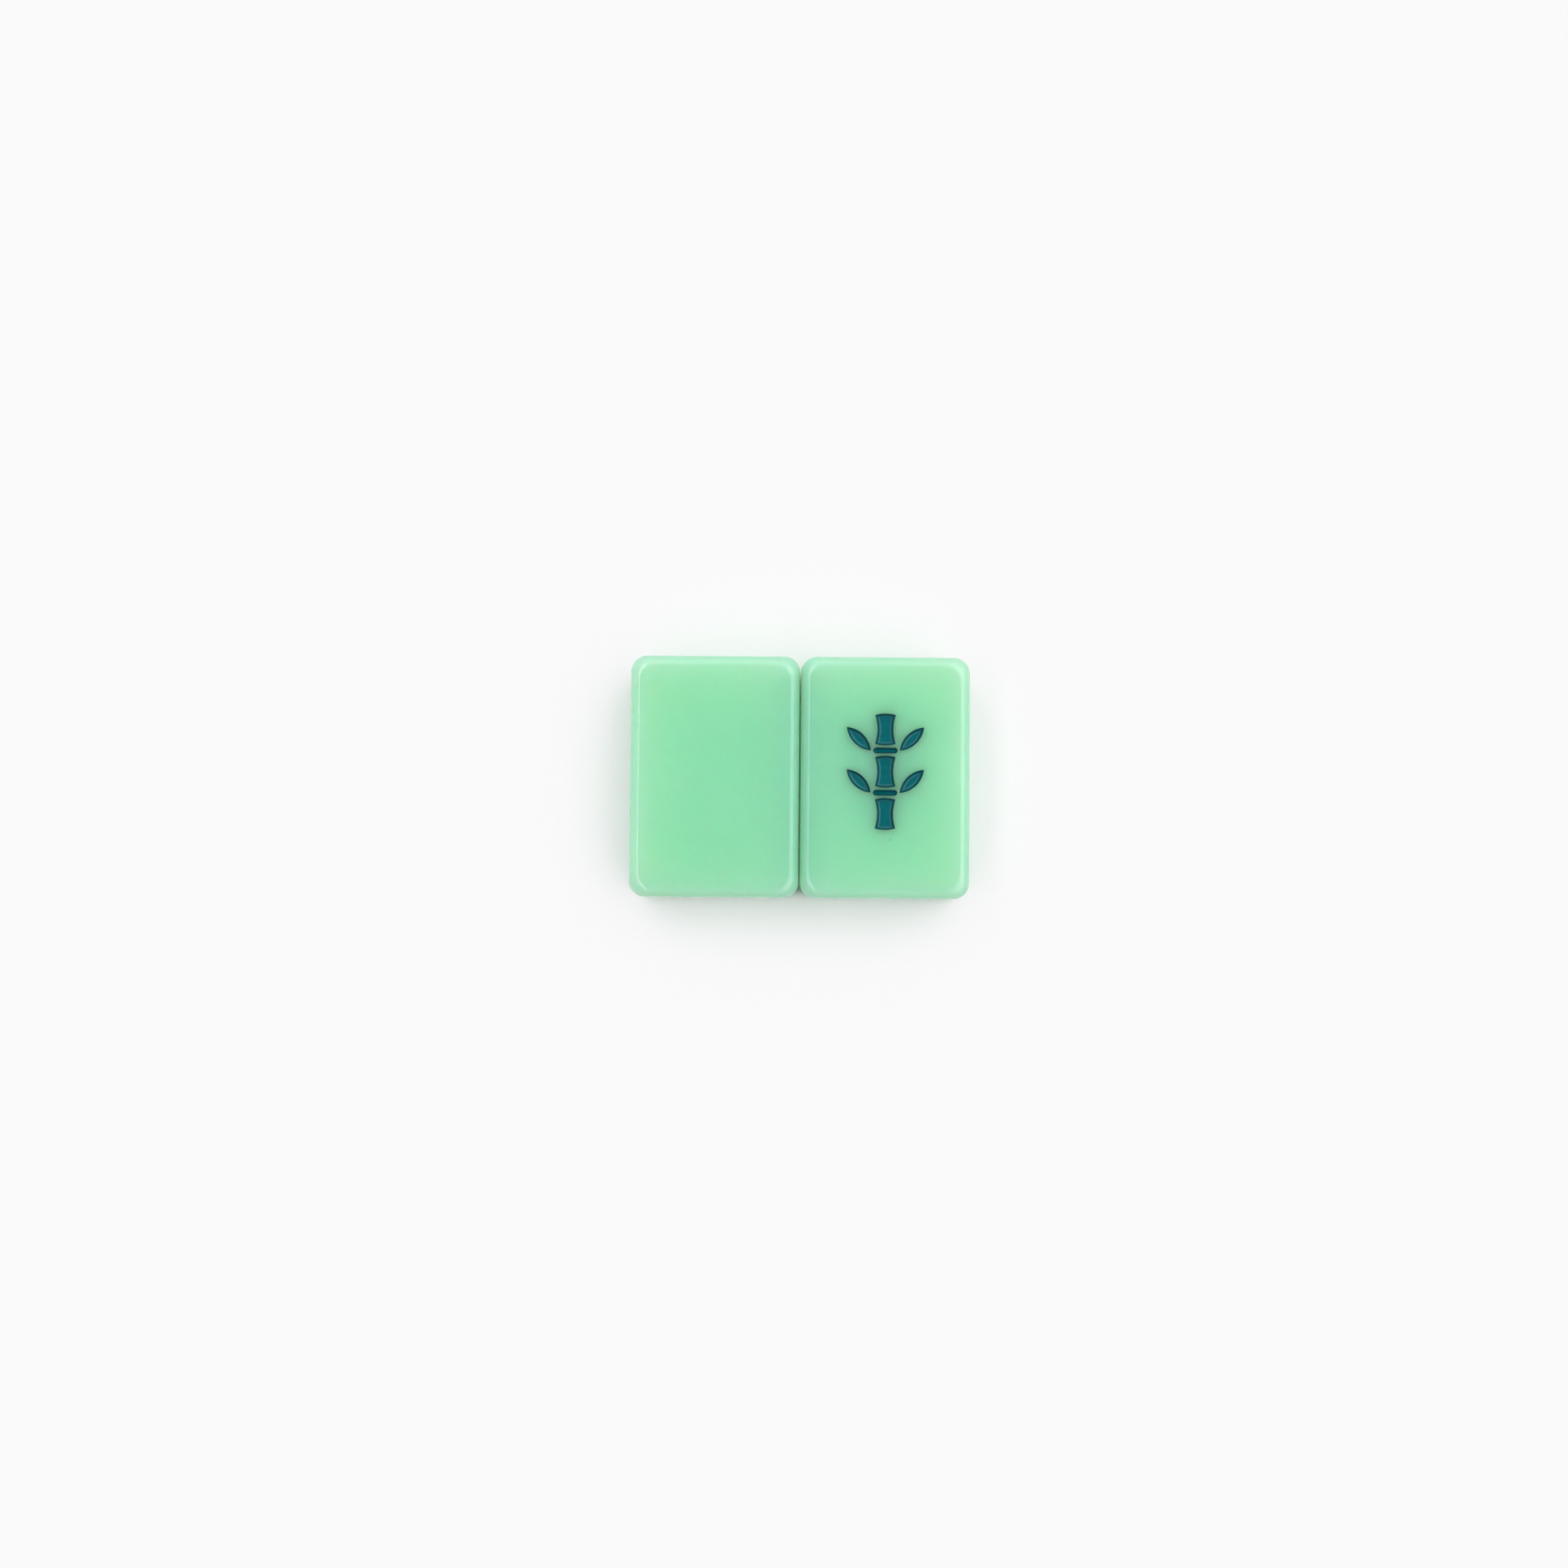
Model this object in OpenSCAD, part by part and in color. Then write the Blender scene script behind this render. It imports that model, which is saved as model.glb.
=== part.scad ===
// A pair of mahjong tiles lying edge to edge on a table.
// The left tile lies plain side up. The right tile lies face up, and the pockets that are engraved
// in its face are lined with coloured enamel in the figure of a bamboo stalk with four leaves.
// Millimetres, +Z up, +Y along the tiles. The origin is on the table, midway between the tiles.

/* [Tile] */
// Width of a tile across its face
tile_w = 22.3; // [18:0.1:30]
// Length of a tile
tile_l = 31.8; // [26:0.1:44]
// Thickness of a tile, from its plain side to its face
tile_t = 12.7; // [9:0.1:24]
// Radius of the four upright corners of a tile
corner_r = 2.1; // [1.6:0.1:4]
// Radius of the rounding that runs round the face and round the plain side
edge_r = 1.4; // [0.5:0.1:1.5]
// Gap between the two tiles as they lie
tile_gap = 0.1; // [0.1:0.1:2]

/* [Engraving] */
// Depth of the pockets below the face
pocket_depth = 0.6; // [0.3:0.1:1.2]
// Thickness of the enamel on the floor and walls of a pocket
enamel_t = 0.12; // [0.06:0.02:0.2]
// Height of the figure's middle above the middle of the face
figure_rise = 0.7; // [-2:0.1:3]

/* [Bamboo] */
// Length of a cane along its sides
cane_l = 3.8; // [2.5:0.1:4.5]
// Width of a cane at its ends
cane_w = 2.7; // [2.4:0.1:3.2]
// Width of a cane at its waist
waist_w = 2.1; // [1.5:0.1:2.3]
// How far each end of a cane bulges past its sides
end_bulge = 0.2; // [0.1:0.05:0.4]
// Width of the knot between two canes
knot_w = 3.2; // [2.6:0.1:4]
// Height of a knot
knot_h = 0.75; // [0.6:0.05:1.2]
// Length of a leaf from its root to its tip
leaf_l = 4.4; // [3:0.1:5]
// Width of a leaf at its middle
leaf_w = 1.6; // [1:0.1:2]
// Lean of a leaf away from the stalk, in degrees
leaf_lean = 46; // [40:1:60]
// Bare land between neighbouring pockets
land = 0.3; // [0.2:0.05:0.6]

/* [Hidden] */
$fn = 64;
RESIN = "#8ee0b0";
ENAMEL = "#02656b";

// How far a cut runs past the surface that it breaks through
CUT = 1;
// Least flat that a rounding leaves on the wall that carries it
LEAST_FLAT = 0.05;

// A rounding can't be wider than the corner or the half thickness that carries it
rim_r = min(edge_r, corner_r - LEAST_FLAT, tile_t / 2 - LEAST_FLAT);
tile_x = (tile_w + tile_gap) / 2;
floor_z = tile_t - pocket_depth;

// Radius of the arc that rises by height in the middle of a chord
function arc_r(chord, height) = (pow(chord / 2, 2) + pow(height, 2)) / (2 * height);

// Arcs that shape the pockets: hollow along a cane's sides, full at its ends and along a leaf
side_r = arc_r(cane_l, (cane_w - waist_w) / 2);
end_r = arc_r(cane_w, end_bulge);
leaf_r = arc_r(leaf_l, leaf_w / 2);

// The stalk is three canes with a knot between each two, and a leaf grows at each end of a knot
joint_pitch = cane_l + 2 * end_bulge + 2 * land + knot_h;
leaf_root_x = knot_w / 2 + land;
CANES = [["bottom", -1], ["middle", 0], ["top", 1]];
KNOTS = [["lower", -0.5], ["upper", 0.5]];
SIDES = [["left", -1], ["right", 1]];

// Every pocket of the figure: its name, its shape, its place on the face and its turn
POCKETS = concat(
    [for (c = CANES) [str(c[0], "_cane"), "cane", [0, c[1] * joint_pitch], 0]],
    [for (k = KNOTS) [str(k[0], "_knot"), "knot", [0, k[1] * joint_pitch], 0]],
    [for (k = KNOTS) for (s = SIDES)
        [str(k[0], "_", s[0], "_leaf"), "leaf", [s[1] * leaf_root_x, k[1] * joint_pitch], -s[1] * leaf_lean]]
);

function enamel_name(pocket) = str(pocket[0], "_enamel");

// Upright section of a tile: a rectangle with rounded corners, standing on its lower edge
module tile_section(width) {
    translate([-width / 2, rim_r]) square([width, tile_t - 2 * rim_r]);
    translate([rim_r - width / 2, 0]) square([width - 2 * rim_r, tile_t]);
    for (x = [rim_r - width / 2, width / 2 - rim_r], z = [rim_r, tile_t - rim_r])
        translate([x, z]) circle(rim_r);
}

// A corner of a tile: half of that section turned about the corner's own upright axis
module tile_corner() {
    rotate_extrude()
        intersection() {
            tile_section(2 * corner_r);
            square([corner_r, tile_t]);
        }
}

// A bar of the upright section, running along Y
module tile_bar(width, length) {
    translate([0, length / 2, 0])
        rotate([90, 0, 0])
            linear_extrude(length) tile_section(width);
}

// A whole tile, lying on the table with its middle over the origin
module tile_block() {
    tile_bar(tile_w, tile_l - 2 * corner_r);
    rotate([0, 0, 90]) tile_bar(tile_l, tile_w - 2 * corner_r);
    for (x = [-1, 1], y = [-1, 1])
        translate([x * (tile_w / 2 - corner_r), y * (tile_l / 2 - corner_r), 0]) tile_corner();
}

// Outline of a cane, drawn in from its true edge by inset
module cane_outline(inset) {
    end_y = cane_l / 2 + end_bulge - end_r;
    difference() {
        intersection() {
            translate([0, end_y]) circle(end_r - inset);
            translate([0, -end_y]) circle(end_r - inset);
            square([cane_w, cane_l + 2 * end_bulge], center = true);
        }
        for (side = [-1, 1])
            translate([side * (waist_w / 2 + side_r), 0]) circle(side_r + inset);
    }
}

// Outline of a knot, a bar with round ends, drawn in by inset
module knot_outline(inset) {
    end_x = (knot_w - knot_h) / 2;
    square([2 * end_x, knot_h - 2 * inset], center = true);
    for (x = [-end_x, end_x])
        translate([x, 0]) circle(knot_h / 2 - inset);
}

// Outline of a leaf that grows up from its root, drawn in by inset
module leaf_outline(inset) {
    translate([0, leaf_l / 2])
        intersection_for(side = [-1, 1])
            translate([side * (leaf_r - leaf_w / 2), 0]) circle(leaf_r - inset);
}

// Outline of one pocket of the figure, drawn in by inset
module pocket_outline(shape, inset) {
    if (shape == "cane") cane_outline(inset);
    if (shape == "knot") knot_outline(inset);
    if (shape == "leaf") leaf_outline(inset);
}

// Moves a pocket from the origin to its place in the face, at the height of its floor
module at_pocket(pocket) {
    translate([tile_x, figure_rise, floor_z])
        translate(pocket[2])
            rotate(pocket[3]) children();
}

// The left tile, plain on both sides
module plain_block() {
    color(RESIN) translate([-tile_x, 0, 0]) tile_block();
}

// The right tile, with the pockets cut in its face
module engraved_block() {
    color(RESIN)
        difference() {
            translate([tile_x, 0, 0]) tile_block();
            for (pocket = POCKETS)
                at_pocket(pocket)
                    linear_extrude(pocket_depth + CUT) pocket_outline(pocket[1], 0);
        }
}

// The enamel in one pocket: a film on its floor and up its walls, wiped flush with the face
module enamel(pocket) {
    color(ENAMEL)
        at_pocket(pocket)
            difference() {
                linear_extrude(pocket_depth) pocket_outline(pocket[1], 0);
                translate([0, 0, enamel_t])
                    linear_extrude(pocket_depth) pocket_outline(pocket[1], enamel_t);
            }
}

plain_block();
engraved_block();
for (pocket = POCKETS)
    enamel(pocket);
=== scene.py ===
"""Two mahjong tiles lying edge to edge on a pale floor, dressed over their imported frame.

The left tile lies plain side up. The right tile lies face up and carries a bamboo stalk that is
engraved in its face and lined with enamel. Lengths are in metres, +Z up, +Y along the tiles.
"""
import math

import bmesh
import bpy
from bpy.props import FloatProperty, FloatVectorProperty, IntProperty, PointerProperty
from mathutils import Matrix, Vector
from mathutils.geometry import intersect_sphere_sphere_2d


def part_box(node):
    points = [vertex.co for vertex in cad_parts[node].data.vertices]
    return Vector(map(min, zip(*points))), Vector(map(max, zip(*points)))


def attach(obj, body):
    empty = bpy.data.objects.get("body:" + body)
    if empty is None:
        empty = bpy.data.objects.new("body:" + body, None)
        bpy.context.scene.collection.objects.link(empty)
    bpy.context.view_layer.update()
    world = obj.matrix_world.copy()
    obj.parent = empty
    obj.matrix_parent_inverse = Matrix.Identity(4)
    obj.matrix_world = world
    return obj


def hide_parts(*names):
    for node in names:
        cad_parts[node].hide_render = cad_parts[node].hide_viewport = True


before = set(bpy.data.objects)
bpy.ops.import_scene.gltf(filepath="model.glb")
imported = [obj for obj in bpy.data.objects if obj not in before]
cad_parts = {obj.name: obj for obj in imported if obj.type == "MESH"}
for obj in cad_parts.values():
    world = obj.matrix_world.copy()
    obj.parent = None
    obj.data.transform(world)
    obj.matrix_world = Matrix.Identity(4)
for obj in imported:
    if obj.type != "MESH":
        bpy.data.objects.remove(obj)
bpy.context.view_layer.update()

bl_info = {
    "name": "Mahjong Tile Pair",
    "version": (1, 0, 0),
    "blender": (4, 5, 0),
    "location": "3D View > Sidebar > Tiles",
    "description": "Builds a plain and an engraved resin tile, the enamel and a small studio",
    "category": "Add Mesh",
}

MM = 0.001
# Attribute that holds the turn of the enamel in each pocket
TURN = "turn"
# Vertices this near to each other are one
MERGE_DISTANCE = 0.001 * MM
# Weight at which the largest face at a vertex sets its shading alone
LARGEST_FACE_ALONE = 100
# The floor lies this far below the tiles, so that the two never share a plane
FLOOR_SINK = 0.01 * MM
# Index of refraction of the resin and of the enamel
REFRACTION = 1.5
# The shader takes its scattering radius as this many times the way between two turns
RADIUS_PER_REACH = 4 * math.pi

# The soft lamps as the tiles see them: name, azimuth (0 is +Y, 90 is +X), elevation, width and
# height in degrees, radiance, and whether the gloss mirrors the lamp. In a low view from the right
# the faces would mirror the low panel and burn out.
LAMPS = (
    ("back softbox", 0, 47, 70, 56, 0.95, True),
    ("right softbox", 90, 56, 70, 40, 2.4, True),
    ("left strip", -90, 67, 70, 11, 3.8, True),
    ("left panel", -90, 10, 70, 20, 1.7, False),
)


def middle(node):
    """Middle of a solid of the frame."""
    low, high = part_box(node)
    return (low + high) / 2


def spread(node):
    """Size of a solid of the frame along X, Y and Z."""
    low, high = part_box(node)
    return high - low


def nodes_ending(ending):
    """Names of the frame's solids that end like this, in a fixed order."""
    return sorted(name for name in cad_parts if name.endswith(ending))


BLOCK_SPREAD = spread("engraved_block")
CANE_SPREAD = spread("middle_cane_enamel")
KNOT_SPREAD = spread("lower_knot_enamel")
# Height of the engraved face above the floor
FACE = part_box("engraved_block")[1].z


def length_property(name, description, default):
    """A length in metres that the panel shows in the scene's own unit."""
    return FloatProperty(
        name=name, description=description, default=default, unit="LENGTH", precision=5
    )


def place_property(name, description, default):
    """A place in metres."""
    return FloatVectorProperty(
        name=name, description=description, default=default, subtype="TRANSLATION", precision=5
    )


def factor_property(name, description, default):
    """A share from 0 to 1."""
    return FloatProperty(
        name=name, description=description, default=default, subtype="FACTOR", min=0.0, max=1.0
    )


def count_property(name, description, default, least):
    """A whole number of steps or samples."""
    return IntProperty(name=name, description=description, default=default, min=least)


def colour_property(name, description, default):
    """A colour in linear light."""
    return FloatVectorProperty(
        name=name, description=description, default=default, subtype="COLOR", min=0.0, max=1.0
    )


class TileSizes(bpy.types.PropertyGroup):
    """Sizes of one tile, and how finely its roundings are drawn."""

    width: length_property("Width", "Width of a tile across its face", BLOCK_SPREAD.x)
    length: length_property("Length", "Length of a tile", BLOCK_SPREAD.y)
    thickness: length_property("Thickness", "Thickness of a tile", BLOCK_SPREAD.z)
    corner_radius: length_property("Corner radius", "Radius of the upright corners", 2.1 * MM)
    edge_radius: length_property("Edge radius", "Radius of the rounding round the face", 1.4 * MM)
    face_corner: length_property("Face corner", "Corner radius of the flat of the face", 2.2 * MM)
    corner_wear: factor_property("Corner wear", "How much deeper a corner's rounding is", 0.2)
    corner_steps: count_property("Corner steps", "Points along a corner", 20, least=2)
    edge_steps: count_property("Edge steps", "Points across a rounding", 20, least=2)


class FigureSizes(bpy.types.PropertyGroup):
    """Sizes of the engraved bamboo stalk and of the enamel in it."""

    cane_length: length_property("Cane length", "Length of a cane from end to end", CANE_SPREAD.y)
    cane_width: length_property("Cane width", "Width of a cane at its ends", CANE_SPREAD.x)
    waist_width: length_property("Waist width", "Width of a cane at its waist", 2.1 * MM)
    end_bulge: length_property("End bulge", "How far a cane's ends bulge past its sides", 0.2 * MM)
    knot_width: length_property("Knot width", "Width of the knot between canes", KNOT_SPREAD.x)
    knot_height: length_property("Knot height", "Height of a knot", KNOT_SPREAD.y)
    leaf_length: length_property("Leaf length", "Length of a leaf from root to tip", 4.4 * MM)
    leaf_width: length_property("Leaf width", "Width of a leaf at its middle", 1.6 * MM)
    leaf_lean: FloatProperty(
        name="Leaf lean", description="Lean of a leaf away from the stalk",
        default=math.radians(46), subtype="ANGLE",
    )
    pocket_depth: length_property("Pocket depth", "Depth of the engraving", CANE_SPREAD.z)
    pocket_rim: length_property("Pocket rim", "Radius of the rim round a pocket", 0.06 * MM)
    film_play: length_property("Film play", "Room between the enamel and its pocket", 0.01 * MM)
    film_thickness: length_property("Film thickness", "Thickness of the enamel", 0.12 * MM)
    film_drop: length_property("Film drop", "How far the lip lies below the face", 0.015 * MM)
    lip_radius: length_property("Lip radius", "Radius of the enamel's lip", 0.04 * MM)
    pool_radius: length_property("Pool radius", "Radius at the foot of a wall", 0.4 * MM)
    least_floor: length_property("Least floor", "Half of the narrowest flat floor", 0.015 * MM)
    arc_steps: count_property("Arc steps", "Points along an arc of an outline", 28, least=4)
    bend_steps: count_property("Bend steps", "Points across a bend of the enamel", 8, least=2)


class Finishes(bpy.types.PropertyGroup):
    """Colours, gloss and texture of the resin and of the enamel, with painted shade up the
    enamel's walls.
    """

    resin: colour_property("Resin", "Colour of the resin", (0.315, 0.80, 0.495))
    resin_cloud: colour_property("Resin cloud", "Colour of its clouds", (0.327, 0.812, 0.507))
    cloud_size: length_property("Cloud size", "Size of a paler cloud in the resin", 5 * MM)
    resin_reach: FloatVectorProperty(
        name="Resin reach",
        description="How far red, green and blue light goes in the resin between two turns",
        default=(1.95 * MM, 0.75 * MM, 0.82 * MM), unit="LENGTH", precision=5,
    )
    resin_roughness: factor_property("Resin roughness", "Roughness of the polished resin", 0.06)
    smudge_size: length_property("Smudge size", "Size of a smudge from handling", 1.8 * MM)
    smudge_roughness: factor_property("Smudge roughness", "How much rougher a smudge is", 0.05)
    grain_size: length_property("Grain size", "Size of the waves in the polish", 0.9 * MM)
    grain_height: length_property("Grain height", "Height of the waves in the polish", 0.05 * MM)
    grain_strength: factor_property("Grain strength", "How much of that height shows", 0.04)
    speck: colour_property("Speck", "Colour of the faint speck in the face", (0.23, 0.68, 0.44))
    speck_place: place_property(
        "Speck place", "Where the speck lies", (11.9 * MM, -8.2 * MM, 12.7 * MM)
    )
    speck_size: length_property("Speck size", "How far the speck reaches", 0.35 * MM)
    enamel: colour_property("Enamel", "Colour of the enamel on the floors", (0.002, 0.146, 0.164))
    # Painted shade: this deeper teal colours the brush marks, and also darkens the enamel up the
    # pocket walls where they lie in shade. The two depths below set where that painted shade
    # begins and where it is deepest.
    enamel_brushed_and_shaded: colour_property("Deep enamel", "Colour on the walls", (0.001, 0.082, 0.097))
    wall_shade_foot: length_property("Wall foot", "Depth from which the walls darken", 0.42 * MM)
    wall_shade_top: length_property("Wall top", "Depth at which the walls are darkest", 0.22 * MM)
    enamel_roughness: factor_property("Enamel roughness", "Roughness of the enamel", 0.14)
    enamel_gloss: factor_property("Enamel gloss", "Strength of the enamel's gloss", 0.25)
    brush_size: length_property("Brush size", "Size of a brush mark", 0.5 * MM)
    brush_share: factor_property("Brush share", "How deep the colour of a brush mark is", 0.35)
    brush_roughness: factor_property("Brush roughness", "How much rougher a mark is", 0.1)
    ripple_size: length_property("Ripple size", "Size of a ripple in the enamel", 0.25 * MM)
    ripple_height: length_property("Ripple height", "Height of a ripple", 0.02 * MM)
    ripple_strength: factor_property("Ripple strength", "How much of that height shows", 0.15)


class StudioSettings(bpy.types.PropertyGroup):
    """Floor, light and camera."""

    floor_colour: colour_property("Floor", "Colour of the floor", (0.955, 0.955, 0.955))
    floor_roughness: factor_property("Floor roughness", "Roughness of the floor", 0.9)
    floor_size: length_property("Floor size", "Length of each side of the floor", 8.0)
    shade_reach: length_property("Shade reach", "How far from the tiles shade shows", 40 * MM)
    shade_samples: count_property("Shade samples", "Rays that find the openness", 8, least=1)
    shade_from: factor_property("Shade from", "Openness with the floor's shade in full", 0.25)
    shade_to: factor_property("Shade to", "Openness from which the floor is evenly pale", 0.93)
    contact_from: factor_property("Contact from", "Openness that leaves all shade as is", 0.42)
    contact_to: factor_property("Contact to", "Openness from which that no longer holds", 0.56)
    backdrop: factor_property("Backdrop", "Brightness of the walls in view", 0.955)
    ceiling: factor_property("Ceiling", "Brightness of the ceiling in view", 0.1)
    ceiling_from: factor_property("Ceiling from", "Rise at which the walls begin to dim", 0.75)
    ceiling_to: factor_property("Ceiling to", "Rise from which the ceiling is even", 0.94)
    ambient: factor_property("Ambient", "Even light from all round", 0.03)
    lamp_distance: length_property("Lamp distance", "Distance of the lamps from the tiles", 4.0)
    camera_place: place_property(
        "Camera place", "Where the camera stands", (0.15 * MM, -19.4 * MM, 312.7 * MM)
    )
    camera_turn: FloatVectorProperty(
        name="Camera turn", description="How the camera is turned away from straight down",
        default=(math.radians(3.504), math.radians(0.419), math.radians(0.464)), subtype="EULER",
    )
    camera_lens: FloatProperty(
        name="Lens", description="Focal length of the camera", default=52.7, unit="CAMERA"
    )
    camera_sensor: FloatProperty(
        name="Sensor", description="Width of the camera's sensor", default=36.0, unit="CAMERA"
    )


class TilePairSettings(bpy.types.PropertyGroup):
    """All that a user would change."""

    tile: PointerProperty(
        name="Tile", description="Sizes of one tile", type=TileSizes
    )
    figure: PointerProperty(
        name="Figure", description="Sizes of the engraved stalk", type=FigureSizes
    )
    finish: PointerProperty(
        name="Finish", description="Colours and textures", type=Finishes
    )
    studio: PointerProperty(
        name="Studio", description="Floor, light and camera", type=StudioSettings
    )


class Wire:
    """An output of a node, with Python's operators for maths on plain values."""

    def __init__(self, graph, socket):
        self.graph = graph
        self.socket = socket

    def __add__(self, other):
        return self.graph.math("ADD", self, other)

    __radd__ = __add__

    def __sub__(self, other):
        return self.graph.math("SUBTRACT", self, other)

    def __rsub__(self, other):
        return self.graph.math("SUBTRACT", other, self)

    def __mul__(self, other):
        return self.graph.math("MULTIPLY", self, other)

    __rmul__ = __mul__

    def __truediv__(self, other):
        return self.graph.math("DIVIDE", self, other)

    def __rtruediv__(self, other):
        return self.graph.math("DIVIDE", other, self)


class Graph:
    """A node tree, of geometry or of a shader, that is being built."""

    def __init__(self, tree):
        self.tree = tree

    def feed(self, socket, value):
        """Links a wire, or several, to an input, or sets its plain value."""
        wires = value if isinstance(value, list) else [value]
        if not isinstance(wires[0], Wire):
            socket.default_value = value
            return
        for wire in wires:
            self.tree.links.new(wire.socket, socket)

    def fill(self, node, sockets):
        """Feeds several inputs of a node."""
        for name, value in sockets.items():
            self.feed(node.inputs[name], value)

    def node(self, kind, settings=None, sockets=None, out=0):
        """Adds a node: its settings first, then its sockets. Returns one of its outputs."""
        node = self.tree.nodes.new(kind)
        for name, value in (settings or {}).items():
            setattr(node, name, value)
        self.fill(node, sockets or {})
        return Wire(self, node.outputs[out]) if node.outputs else node

    def math(self, operation, first, second, clamp=False):
        """A Math node on two values."""
        settings = {"operation": operation, "use_clamp": clamp}
        return self.node("ShaderNodeMath", settings, {0: first, 1: second})

    def vectors(self, operation, first, second=(0.0, 0.0, 0.0), out=0):
        """A Vector Math node on two vectors."""
        settings = {"operation": operation}
        return self.node("ShaderNodeVectorMath", settings, {0: first, 1: second}, out)

    def part(self, vector, axis):
        """The X, Y or Z of a vector."""
        return self.node("ShaderNodeSeparateXYZ", sockets={"Vector": vector}, out=axis)

    def vector(self, x=0.0, y=0.0, z=0.0):
        """A vector of three values."""
        return self.node("ShaderNodeCombineXYZ", sockets={"X": x, "Y": y, "Z": z})

    def mixed(self, share, first, second):
        """A colour between two others."""
        sockets = {0: share, 6: first, 7: second}
        return self.node("ShaderNodeMix", {"data_type": "RGBA"}, sockets, out=2)

    def ranged(self, value, low, high, to_low=0.0, to_high=1.0, kind="SMOOTHSTEP"):
        """A value carried from one range to another, and held at its ends."""
        sockets = {
            "Value": value,
            "From Min": low,
            "From Max": high,
            "To Min": to_low,
            "To Max": to_high,
        }
        return self.node("ShaderNodeMapRange", {"interpolation_type": kind}, sockets)

    def place(self):
        """The object's own coordinates."""
        return self.node("ShaderNodeTexCoord", out="Object")

    def noise(self, size, detail):
        """Soft noise in the object's own coordinates, with features of a size in metres."""
        sockets = {"Vector": self.place(), "Scale": 1 / size, "Detail": detail}
        return self.node("ShaderNodeTexNoise", sockets=sockets)

    def patches(self, size, detail, low, high, most=1.0):
        """Soft patches of noise, nothing where it is under low and the most over high."""
        return self.ranged(self.noise(size, detail), low, high, to_high=most)

    def bump(self, height, strength, distance):
        """A normal that follows a fine relief."""
        sockets = {"Height": height, "Strength": strength, "Distance": distance}
        return self.node("ShaderNodeBump", sockets=sockets)

    def seen(self):
        """1 where the camera looks, straight or through gloss or glass, and 0 for other light."""
        camera = self.node("ShaderNodeLightPath", out="Is Camera Ray")
        glossy = self.node("ShaderNodeLightPath", out="Is Glossy Ray")
        through = self.node("ShaderNodeLightPath", out="Is Transmission Ray")
        return self.math("ADD", camera + glossy, through, clamp=True)

    def given(self, name, kind):
        """A named input of the tree."""
        self.tree.interface.new_socket(name, in_out="INPUT", socket_type=kind)
        return self.node("NodeGroupInput", out=name)

    def result(self, geometry):
        """Makes this geometry the tree's output."""
        kind = "NodeSocketGeometry"
        self.tree.interface.new_socket("Geometry", in_out="OUTPUT", socket_type=kind)
        self.node("NodeGroupOutput", sockets={"Geometry": geometry})

    def joined(self, *parts):
        """Several geometries as one."""
        return self.node("GeometryNodeJoinGeometry", sockets={"Geometry": list(parts)})

    def moved(self, geometry, offset):
        """A geometry moved by a vector."""
        sockets = {"Geometry": geometry, "Translation": offset}
        return self.node("GeometryNodeTransform", sockets=sockets)

    def set_at(self, geometry, position):
        """A geometry whose points are moved to new positions."""
        sockets = {"Geometry": geometry, "Position": position}
        return self.node("GeometryNodeSetPosition", sockets=sockets)

    def filled(self, curve):
        """A flat inside closed curves, in few large faces, which keep its shading even."""
        return self.node("GeometryNodeFillCurve", {"mode": "NGONS"}, {"Curve": curve})

    def dressed(self, geometry, finish):
        """A geometry made real, with a finish on all of it."""
        real = self.node("GeometryNodeRealizeInstances", sockets={"Geometry": geometry})
        sockets = {"Geometry": real, "Material": finish}
        return self.node("GeometryNodeSetMaterial", sockets=sockets)


def worn_spot(graph, width, length, half, corner, edge, face_corner, wear):
    """Where a point of an evenly rounded block lies once handling has worn its corners rounder.

    Each level of the rounding is a rectangle with round corners, which are wider the nearer the
    level is to the flat of the face. Towards the corners the rounding also goes deeper.
    """
    spot = graph.node("GeometryNodeInputPosition")
    flat = graph.vector(graph.part(spot, "X"), graph.part(spot, "Y"))
    side = graph.vectors("SIGN", flat)
    hub = graph.vector(width / 2 - corner, length / 2 - corner)
    arm = graph.vectors("SUBTRACT", flat, graph.vectors("MULTIPLY", side, hub))
    inset = corner - graph.vectors("LENGTH", arm, out="Value")
    heading = graph.vectors("NORMALIZE", arm)
    radius = corner + (face_corner - corner) * inset / edge
    new_hub = graph.vector(width / 2 - inset - radius, length / 2 - inset - radius)
    new_arm = graph.vectors("MULTIPLY", heading, graph.vector(radius, radius))
    new_flat = graph.vectors("ADD", graph.vectors("MULTIPLY", side, new_hub), new_arm)

    z = graph.part(spot, "Z")
    across = 2 * graph.part(heading, "X") * graph.part(heading, "Y")
    drop = (half - graph.math("ABSOLUTE", z, 0.0)) * (1 + wear * across * across)
    height = graph.math("SIGN", z, 0.0) * (half - drop)
    return graph.vectors("ADD", new_flat, graph.vector(z=height))


def block_section(graph, half, edge, edge_steps):
    """Upright section of a block's side: a straight wall between two roundings."""
    quarter = math.pi / 2
    wall_end = half - edge
    arc_sockets = {"Resolution": edge_steps, "Radius": edge, "Sweep Angle": quarter}
    first = graph.node("GeometryNodeCurveArc", sockets={**arc_sockets, "Start Angle": -quarter})
    second = graph.node("GeometryNodeCurveArc", sockets={**arc_sockets, "Start Angle": 0.0})
    wall_ends = {"Start": graph.vector(edge, 0 - wall_end), "End": graph.vector(edge, wall_end)}
    return graph.joined(
        graph.moved(first, graph.vector(y=0 - wall_end)),
        graph.node("GeometryNodeCurvePrimitiveLine", sockets=wall_ends),
        graph.moved(second, graph.vector(y=wall_end)),
    )


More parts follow.
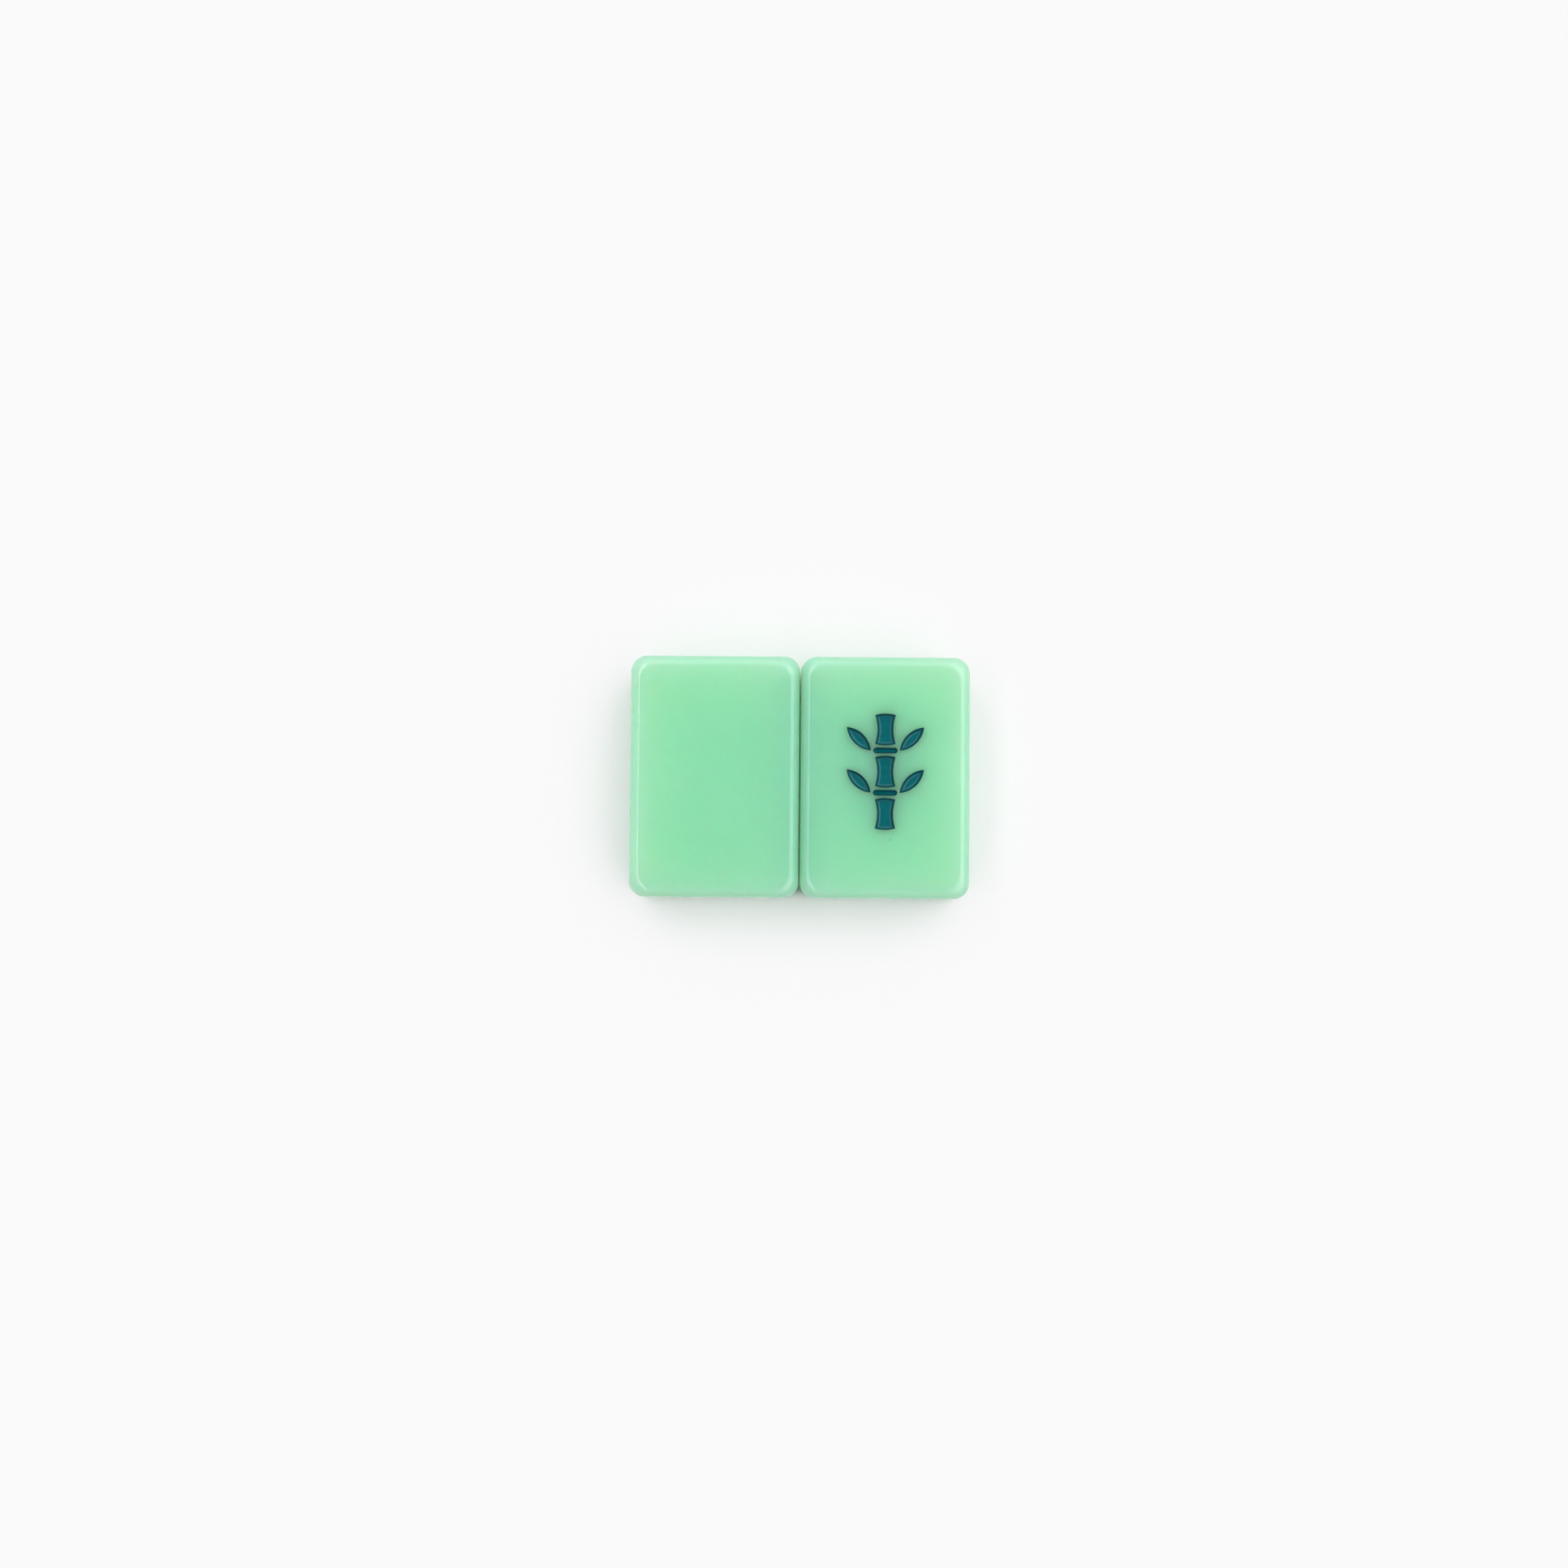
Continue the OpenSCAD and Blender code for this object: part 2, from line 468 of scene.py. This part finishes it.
def block_tree():
    """A rounded block about its Centre, with the object's own mesh let into its top as pockets."""
    graph = Graph(bpy.data.node_groups.new("Rounded block", "GeometryNodeTree"))
    pockets = graph.given("Pockets", "NodeSocketGeometry")
    width = graph.given("Width", "NodeSocketFloat")
    length = graph.given("Length", "NodeSocketFloat")
    thickness = graph.given("Thickness", "NodeSocketFloat")
    corner = graph.given("Corner Radius", "NodeSocketFloat")
    edge = graph.given("Edge Radius", "NodeSocketFloat")
    face_corner = graph.given("Face Corner", "NodeSocketFloat")
    wear = graph.given("Corner Wear", "NodeSocketFloat")
    corner_steps = graph.given("Corner Steps", "NodeSocketInt")
    edge_steps = graph.given("Edge Steps", "NodeSocketInt")
    centre = graph.given("Centre", "NodeSocketVector")
    finish = graph.given("Finish", "NodeSocketMaterial")
    half = thickness / 2

    # The path runs round the flat of the face, and the section hangs outside it
    sides = {"Width": width - 2 * edge, "Height": length - 2 * edge}
    rectangle = graph.node("GeometryNodeCurvePrimitiveQuadrilateral", sockets=sides)
    rounding = {"Curve": rectangle, "Count": corner_steps, "Radius": corner - edge}
    path = graph.node("GeometryNodeFilletCurve", {"mode": "POLY"}, rounding)
    sweep = {"Curve": path, "Profile Curve": block_section(graph, half, edge, edge_steps)}
    even_wall = graph.node("GeometryNodeCurveToMesh", sockets=sweep)
    worn = worn_spot(graph, width, length, half, corner, edge, face_corner, wear)
    border = graph.set_at(path, worn)

    # Only the edges of the pockets' rims have a face on one side alone
    neighbours = graph.node("GeometryNodeInputMeshEdgeNeighbors")
    one_face = {"data_type": "INT", "operation": "EQUAL"}
    open_edge = graph.node("FunctionNodeCompare", one_face, {2: neighbours, 3: 1})
    rim_edges = {"Mesh": pockets, "Selection": open_edge}
    rims = graph.node("GeometryNodeMeshToCurve", sockets=rim_edges)
    top = graph.filled(graph.joined(border, rims))
    underside = graph.node("GeometryNodeFlipFaces", sockets={"Mesh": graph.filled(border)})

    parts = graph.joined(
        graph.set_at(even_wall, worn),
        graph.moved(top, graph.vector(z=half)),
        graph.moved(underside, graph.vector(z=0 - half)),
        pockets,
    )
    seams = {"Geometry": parts, "Distance": MERGE_DISTANCE}
    closed = graph.node("GeometryNodeMergeByDistance", sockets=seams)
    shading = {"Geometry": closed, "Shade Smooth": True}
    smooth = graph.node("GeometryNodeSetShadeSmooth", sockets=shading)
    graph.result(graph.dressed(graph.moved(smooth, centre), finish))
    return graph.tree


def film_tree():
    """A film of enamel at every vertex of the object's own mesh, turned by that vertex's angle."""
    graph = Graph(bpy.data.node_groups.new("Enamel in pockets", "GeometryNodeTree"))
    pockets = graph.given("Pockets", "NodeSocketGeometry")
    film = graph.given("Film", "NodeSocketObject")
    finish = graph.given("Finish", "NodeSocketMaterial")
    shape = graph.node("GeometryNodeObjectInfo", sockets={"Object": film}, out="Geometry")
    turn = graph.node("GeometryNodeInputNamedAttribute", {"data_type": "FLOAT"}, {"Name": TURN})
    spots = {"Points": pockets, "Instance": shape, "Rotation": graph.vector(z=turn)}
    films = graph.node("GeometryNodeInstanceOnPoints", sockets=spots)
    graph.result(graph.dressed(films, finish))
    return graph.tree


def new_object(name, data):
    """An object at the origin, linked to the scene."""
    item = bpy.data.objects.new(name, data)
    bpy.context.scene.collection.objects.link(item)
    return item


def as_mesh(name, shape):
    """Turns a finished bmesh into a mesh."""
    mesh = bpy.data.meshes.new(name)
    shape.to_mesh(mesh)
    shape.free()
    return mesh


def grow(piece, tree, values):
    """Runs a tree on an object, evens its shading and keeps the result as one plain mesh."""
    modifier = piece.modifiers.new(tree.name, "NODES")
    modifier.node_group = tree
    for item in tree.interface.items_tree:
        if item.in_out == "INPUT" and item.name in values:
            modifier[item.identifier] = values[item.name]
    shading = piece.modifiers.new("Even shading", "WEIGHTED_NORMAL")
    shading.weight = LARGEST_FACE_ALONE
    depsgraph = bpy.context.evaluated_depsgraph_get()
    made = bpy.data.meshes.new_from_object(piece.evaluated_get(depsgraph))
    if not made.polygons:
        raise RuntimeError(f"{piece.name} came out empty")
    seed = piece.data
    piece.modifiers.clear()
    piece.data = made
    bpy.data.meshes.remove(seed)
    made.name = piece.name


def arc_radius(chord, height):
    """Radius of the arc that rises by height in the middle of a chord."""
    return ((chord / 2) ** 2 + height ** 2) / (2 * height)


def arc(centre, radius, start, end, steps):
    """Points along an arc, both ends included."""
    angles = (start + (end - start) * step / steps for step in range(steps + 1))
    return [centre + radius * Vector((math.cos(angle), math.sin(angle))) for angle in angles]


def both_halves(half):
    """A whole outline from one half of it, which a half turn repeats."""
    return half + [-point for point in half]


def cane_outline(figure, inset):
    """Outline of a cane, drawn in by inset: full at both ends and hollow along its sides."""
    side_length = figure.cane_length - 2 * figure.end_bulge
    end_radius = arc_radius(figure.cane_width, figure.end_bulge)
    side_radius = arc_radius(side_length, (figure.cane_width - figure.waist_width) / 2)
    end_centre = Vector((0, figure.cane_length / 2 - end_radius))
    side_centre = Vector((figure.waist_width / 2 + side_radius, 0))
    end_radius -= inset
    side_radius += inset
    crossings = intersect_sphere_sphere_2d(end_centre, end_radius, side_centre, side_radius)
    corner = max(crossings, key=lambda point: point.y)
    from_end = corner - end_centre
    from_side = corner - side_centre
    end_angle = math.atan2(from_end.y, from_end.x)
    side_angle = math.atan2(from_side.y, from_side.x)
    side = arc(side_centre, side_radius, math.tau - side_angle, side_angle, figure.arc_steps)
    end = arc(end_centre, end_radius, end_angle, math.pi - end_angle, figure.arc_steps)
    return both_halves(side[:-1] + end[:-1])


def knot_outline(figure, inset):
    """Outline of a knot, a bar with round ends, drawn in by inset."""
    end_centre = Vector(((figure.knot_width - figure.knot_height) / 2, 0))
    radius = figure.knot_height / 2 - inset
    return both_halves(arc(end_centre, radius, -math.pi / 2, math.pi / 2, figure.arc_steps))


def leaf_outline(figure, inset):
    """Outline of an upright leaf about its middle, drawn in by inset: two arcs with tips."""
    radius = arc_radius(figure.leaf_length, figure.leaf_width / 2)
    centre = Vector((figure.leaf_width / 2 - radius, 0))
    tip_angle = math.acos(-centre.x / (radius - inset))
    return both_halves(arc(centre, radius - inset, -tip_angle, tip_angle, figure.arc_steps)[:-1])


def pocket_section(figure):
    """Section of a pocket as points of inset and height above the face: rim, wall and floor."""
    rim = figure.pocket_rim
    wall = -figure.film_play
    bend = arc(Vector((wall - rim, -rim)), rim, math.pi / 2, 0, figure.bend_steps)
    return bend + [Vector((wall, wall - figure.pocket_depth))]


def film_section(figure, outline):
    """Section of the enamel as points of inset and height above the face.

    It runs from the foot up the outside, over the lip and down the inside to the floor.
    """
    lip = figure.lip_radius
    thickness = figure.film_thickness
    half_width = min(spot.length for spot in outline(figure, 0))
    bend = min(figure.pool_radius, half_width - thickness - figure.least_floor)
    foot = -figure.pocket_depth
    lip_centre = Vector((lip, -figure.film_drop - lip))
    bend_centre = Vector((thickness + bend, foot + thickness + bend))
    section = [Vector((0, foot))]
    section += arc(lip_centre, lip, math.pi, 0, figure.bend_steps)
    section += arc(bend_centre, bend, math.pi, 1.5 * math.pi, figure.bend_steps)
    return section


def loft(shape, outline, figure, section, place, closed):
    """Skins an outline that is drawn in and lowered as the section says.

    The last ring is shut, and the first one too where the skin is closed.
    """
    rings = []
    for inset, height in section:
        spots = outline(figure, inset)
        rings.append([shape.verts.new(place @ Vector((*spot, height))) for spot in spots])
    for upper, lower in zip(rings, rings[1:]):
        for index in range(len(upper)):
            after = (index + 1) % len(upper)
            shape.faces.new((upper[index], upper[after], lower[after], lower[index]))
    shape.faces.new(rings[-1])
    if closed:
        shape.faces.new(reversed(rings[0]))


def new_finish(name):
    """A material with its tree and its Principled shader."""
    finish = bpy.data.materials.new(name)
    finish.use_nodes = True
    return finish, Graph(finish.node_tree), finish.node_tree.nodes["Principled BSDF"]


def resin_finish(settings):
    """Polished, slightly cloudy resin that light enters."""
    finish, graph, surface = new_finish("Mint resin")
    longest = max(settings.resin_reach)
    cloud = graph.patches(settings.cloud_size, detail=3, low=0.3, high=0.7)
    clouded = graph.mixed(cloud, (*settings.resin, 1), (*settings.resin_cloud, 1))
    from_speck = graph.vectors("DISTANCE", graph.place(), settings.speck_place, out="Value")
    in_speck = 1 - graph.ranged(from_speck, 0.0, settings.speck_size)
    smudge = graph.patches(settings.smudge_size, detail=4, low=0.35, high=0.75)
    grain = graph.noise(settings.grain_size, detail=2)
    graph.fill(surface, {
        "Base Color": graph.mixed(in_speck, clouded, (*settings.speck, 1)),
        "Roughness": settings.resin_roughness + settings.smudge_roughness * smudge,
        "IOR": REFRACTION,
        "Subsurface Weight": 1.0,
        "Subsurface Radius": Vector(settings.resin_reach) / longest,
        "Subsurface Scale": longest * RADIUS_PER_REACH,
        "Normal": graph.bump(grain, settings.grain_strength, settings.grain_height),
    })
    return finish


def enamel_finish(settings):
    """Enamel that pooled on the floors, with painted shade up its walls and darker brush marks."""
    finish, graph, surface = new_finish("Teal enamel")
    height = graph.part(graph.place(), "Z")
    # Painted shade: the enamel's colour darkens up the pocket walls, where they lie in shade
    painted_wall_shade = graph.ranged(height, FACE - settings.wall_shade_foot, FACE - settings.wall_shade_top)
    share = settings.brush_share
    brushed = graph.patches(settings.brush_size, detail=4, low=0.3, high=0.7, most=share)
    # The painted wall shade and the brush marks both take the deeper colour
    deep = graph.math("MAXIMUM", painted_wall_shade, brushed)
    ripple = graph.noise(settings.ripple_size, detail=3)
    graph.fill(surface, {
        "Base Color": graph.mixed(deep, (*settings.enamel, 1), (*settings.enamel_brushed_and_shaded, 1)),
        "Roughness": settings.enamel_roughness + settings.brush_roughness * brushed,
        "IOR": REFRACTION,
        "Specular IOR Level": settings.enamel_gloss,
        "Normal": graph.bump(ripple, settings.ripple_strength, settings.ripple_height),
    })
    return finish


def finish_of(kind):
    """The finish of that kind, made at its first use."""
    makers = {"Mint resin": resin_finish, "Teal enamel": enamel_finish}
    return bpy.data.materials.get(kind) or makers[kind](bpy.context.scene.tile_pair.finish)


def add_tile(name, node, body, pockets):
    """Builds one tile round the pockets in its top, in the place of its solid."""
    sizes = bpy.context.scene.tile_pair.tile
    piece = new_object(name, pockets)
    values = {
        "Width": sizes.width,
        "Length": sizes.length,
        "Thickness": sizes.thickness,
        "Corner Radius": sizes.corner_radius,
        "Edge Radius": sizes.edge_radius,
        "Face Corner": sizes.face_corner,
        "Corner Wear": sizes.corner_wear,
        "Corner Steps": sizes.corner_steps,
        "Edge Steps": sizes.edge_steps,
        "Centre": middle(node),
        "Finish": finish_of("Mint resin"),
    }
    grow(piece, bpy.data.node_groups.get("Rounded block") or block_tree(), values)
    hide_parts(node)
    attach(piece, body)


def leaf_turn(node):
    """Turn of a leaf about its middle, away from the stalk."""
    lean = bpy.context.scene.tile_pair.figure.leaf_lean
    return lean if "_left_" in node else -lean


def no_turn(node):
    """Turn of a cane or a knot, which stand straight."""
    return 0.0


# Each shape of pocket: how its solids' names end, its outline and its turn
FIGURE = (
    ("_cane_enamel", cane_outline, no_turn),
    ("_knot_enamel", knot_outline, no_turn),
    ("_leaf_enamel", leaf_outline, leaf_turn),
)


def pocket_mesh():
    """All the pockets of the figure, about the middle of the engraved tile."""
    figure = bpy.context.scene.tile_pair.figure
    block = middle("engraved_block")
    shape = bmesh.new()
    for ending, outline, turn in FIGURE:
        for node in nodes_ending(ending):
            spot = middle(node) - block
            spot.z = FACE - block.z
            place = Matrix.Translation(spot) @ Matrix.Rotation(turn(node), 4, "Z")
            loft(shape, outline, figure, pocket_section(figure), place, closed=False)
    return as_mesh("pockets", shape)


def film_mesh(figure, outline):
    """One film of enamel about the origin, which stands for the face over its pocket."""
    shape = bmesh.new()
    section = film_section(figure, outline)
    loft(shape, outline, figure, section, Matrix.Identity(4), closed=True)
    for facet in shape.faces:
        facet.smooth = True
    return as_mesh("film", shape)


def add_enamel(name, ending, outline, turn):
    """Builds the enamel in all pockets of one shape."""
    nodes = nodes_ending(ending)
    film = new_object("film", film_mesh(bpy.context.scene.tile_pair.figure, outline))
    places = [middle(node) for node in nodes]
    turns = [turn(node) for node in nodes]
    spots = bpy.data.meshes.new("spots")
    spots.from_pydata([(place.x, place.y, FACE) for place in places], [], [])
    spots.attributes.new(TURN, "FLOAT", "POINT").data.foreach_set("value", turns)
    piece = new_object(name, spots)
    values = {"Film": film, "Finish": finish_of("Teal enamel")}
    grow(piece, bpy.data.node_groups.get("Enamel in pockets") or film_tree(), values)
    spent = film.data
    bpy.data.objects.remove(film)
    bpy.data.meshes.remove(spent)
    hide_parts(*nodes)
    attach(piece, "engraved_tile")


class AddPlainTile(bpy.types.Operator):
    """Build the left tile, which lies plain side up"""

    bl_idname = "tile_pair.plain_tile"
    bl_label = "Plain Tile"

    def execute(self, context):
        no_pockets = bpy.data.meshes.new("no pockets")
        add_tile("plain_tile_resin", "plain_block", "plain_tile", no_pockets)
        return {"FINISHED"}


class AddEngravedTile(bpy.types.Operator):
    """Build the right tile, with the pockets of the bamboo stalk in its face"""

    bl_idname = "tile_pair.engraved_tile"
    bl_label = "Engraved Tile"

    def execute(self, context):
        add_tile("engraved_tile_resin", "engraved_block", "engraved_tile", pocket_mesh())
        return {"FINISHED"}


class AddEnamel(bpy.types.Operator):
    """Build the enamel in the canes, the knots and the leaves of the bamboo stalk"""

    bl_idname = "tile_pair.enamel"
    bl_label = "Enamel"

    def execute(self, context):
        for ending, outline, turn in FIGURE:
            add_enamel("bamboo" + ending, ending, outline, turn)
        return {"FINISHED"}


def add_lamp(distance, name, azimuth, elevation, width, height, radiance, mirrored):
    """Hangs one soft rectangular lamp of LAMPS at a distance, facing the tiles."""
    lamp = bpy.data.lights.new(name, "AREA")
    lamp.shape = "RECTANGLE"
    lamp.size = 2 * distance * math.tan(math.radians(width) / 2)
    lamp.size_y = 2 * distance * math.tan(math.radians(height) / 2)
    lamp.energy = math.pi * radiance * lamp.size * lamp.size_y
    raised = Matrix.Rotation(math.radians(elevation), 4, "X")
    turned = Matrix.Rotation(math.radians(-azimuth), 4, "Z")
    direction = turned @ raised @ Vector((0, 1, 0))
    stand = new_object(name, lamp)
    stand.location = direction * distance
    stand.rotation_euler = (-direction).to_track_quat("-Z", "Y").to_euler()
    stand.visible_camera = False
    stand.visible_glossy = mirrored


def add_world(studio):
    """Even light from all round, and for what is seen pale walls and a dim ceiling."""
    world = bpy.data.worlds.new("Studio")
    world.use_nodes = True
    bpy.context.scene.world = world
    graph = Graph(world.node_tree)
    rise = graph.part(graph.node("ShaderNodeTexCoord", out="Generated"), "Z")
    dimming = (studio.ceiling_from, studio.ceiling_to, studio.backdrop, studio.ceiling)
    room = graph.ranged(rise, *dimming)
    graph.fill(world.node_tree.nodes["Background"], {
        "Color": (1, 1, 1, 1),
        "Strength": studio.ambient + (room - studio.ambient) * graph.seen(),
    })


def add_floor(studio):
    """The floor under the tiles: evenly pale where it is open, and shaded close to them."""
    half = studio.floor_size / 2
    corners = [(-half, -half), (half, -half), (half, half), (-half, half)]
    mesh = bpy.data.meshes.new("floor")
    mesh.from_pydata([(x, y, -FLOOR_SINK) for x, y in corners], [], [(0, 1, 2, 3)])
    finish, graph, surface = new_finish("Pale floor")
    colour = (*studio.floor_colour, 1)
    graph.fill(surface, {
        "Base Color": colour,
        "Roughness": studio.floor_roughness,
        "Specular IOR Level": 0.0,
    })
    nearby = {"Distance": studio.shade_reach}
    samples = {"samples": studio.shade_samples}
    openness = graph.node("ShaderNodeAmbientOcclusion", samples, nearby, out="AO")
    pale = graph.ranged(openness, studio.shade_from, studio.shade_to, kind="LINEAR")
    clear = graph.ranged(openness, studio.contact_from, studio.contact_to)
    share = pale * clear * graph.seen()
    lit = Wire(graph, surface.outputs["BSDF"])
    white = graph.node("ShaderNodeEmission", sockets={"Color": colour})
    mixed = graph.node("ShaderNodeMixShader", sockets={0: share, 1: lit, 2: white})
    graph.fill(finish.node_tree.nodes["Material Output"], {"Surface": mixed})
    mesh.materials.append(finish)
    new_object("floor", mesh)


def add_camera(studio):
    """The camera, nearly straight above the tiles."""
    camera = bpy.data.cameras.new("camera")
    camera.lens = studio.camera_lens
    camera.sensor_width = studio.camera_sensor
    stand = new_object("camera", camera)
    stand.location = studio.camera_place
    stand.rotation_mode = "ZYX"
    stand.rotation_euler = studio.camera_turn
    bpy.context.scene.camera = stand


class AddStudio(bpy.types.Operator):
    """Build the floor, the soft light and the camera"""

    bl_idname = "tile_pair.studio"
    bl_label = "Studio"

    def execute(self, context):
        studio = context.scene.tile_pair.studio
        context.scene.view_settings.view_transform = "Standard"
        add_floor(studio)
        add_world(studio)
        add_camera(studio)
        for lamp in LAMPS:
            add_lamp(studio.lamp_distance, *lamp)
        return {"FINISHED"}


class TilePairPanel(bpy.types.Panel):
    """Lists the steps that build the tiles, and their sizes and colours"""

    bl_idname = "VIEW3D_PT_tile_pair"
    bl_label = "Mahjong Tile Pair"
    bl_space_type = "VIEW_3D"
    bl_region_type = "UI"
    bl_category = "Tiles"

    def draw(self, context):
        for step in STEPS:
            self.layout.operator(step.bl_idname)
        settings = context.scene.tile_pair
        for group in (settings.tile, settings.figure, settings.finish, settings.studio):
            column = self.layout.column(align=True)
            for name in group.__annotations__:
                column.prop(group, name)


GROUPS = (TileSizes, FigureSizes, Finishes, StudioSettings, TilePairSettings)
STEPS = (AddPlainTile, AddEngravedTile, AddEnamel, AddStudio)


def register():
    for part in (*GROUPS, *STEPS, TilePairPanel):
        bpy.utils.register_class(part)
    bpy.types.Scene.tile_pair = PointerProperty(type=TilePairSettings)


def unregister():
    del bpy.types.Scene.tile_pair
    for part in reversed((*GROUPS, *STEPS, TilePairPanel)):
        bpy.utils.unregister_class(part)


def main():
    register()
    bpy.ops.tile_pair.plain_tile()
    bpy.ops.tile_pair.engraved_tile()
    bpy.ops.tile_pair.enamel()
    bpy.ops.tile_pair.studio()


if __name__ == "__main__":
    main()
